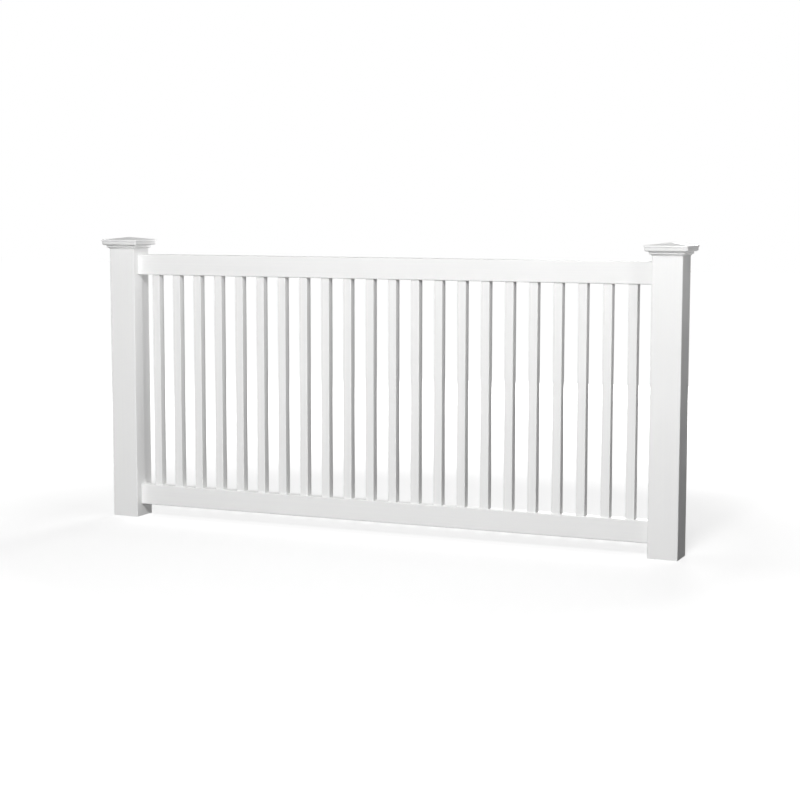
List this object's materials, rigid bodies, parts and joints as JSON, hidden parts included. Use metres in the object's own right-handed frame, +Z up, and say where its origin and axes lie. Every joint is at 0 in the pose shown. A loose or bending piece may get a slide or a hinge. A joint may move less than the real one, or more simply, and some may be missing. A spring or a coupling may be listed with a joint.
{
  "type": "pool fence panel",
  "caption": "White PVC picket fence panel for a pool: square posts with moulded caps carry a top and a bottom rail, with upright square pickets set between the rails.",
  "frame": {"origin": "middle of the left post's foot, at ground level", "axes": "+X along the fence to the right post, +Y to the back, +Z up"},
  "size_m": [2.711, 0.184, 1.277],
  "materials": {
    "pvc_extrusion": "satin",
    "pvc_moulding": "semi-gloss"
  },
  "bodies": {
    "root": {"left_post": "pvc_extrusion", "right_post": "pvc_extrusion", "left_post_cap": "pvc_moulding", "right_post_cap": "pvc_moulding", "bottom_rail": "pvc_extrusion", "top_rail": "pvc_extrusion", "picket_01": "pvc_extrusion", "picket_02": "pvc_extrusion", "picket_03": "pvc_extrusion", "picket_04": "pvc_extrusion", "picket_05": "pvc_extrusion", "picket_06": "pvc_extrusion", "picket_07": "pvc_extrusion", "picket_08": "pvc_extrusion", "picket_09": "pvc_extrusion", "picket_10": "pvc_extrusion", "picket_11": "pvc_extrusion", "picket_12": "pvc_extrusion", "picket_13": "pvc_extrusion", "picket_14": "pvc_extrusion", "picket_15": "pvc_extrusion", "picket_16": "pvc_extrusion", "picket_17": "pvc_extrusion", "picket_18": "pvc_extrusion", "picket_19": "pvc_extrusion", "picket_20": "pvc_extrusion", "picket_21": "pvc_extrusion", "picket_22": "pvc_extrusion"}
  },
  "joints": []
}
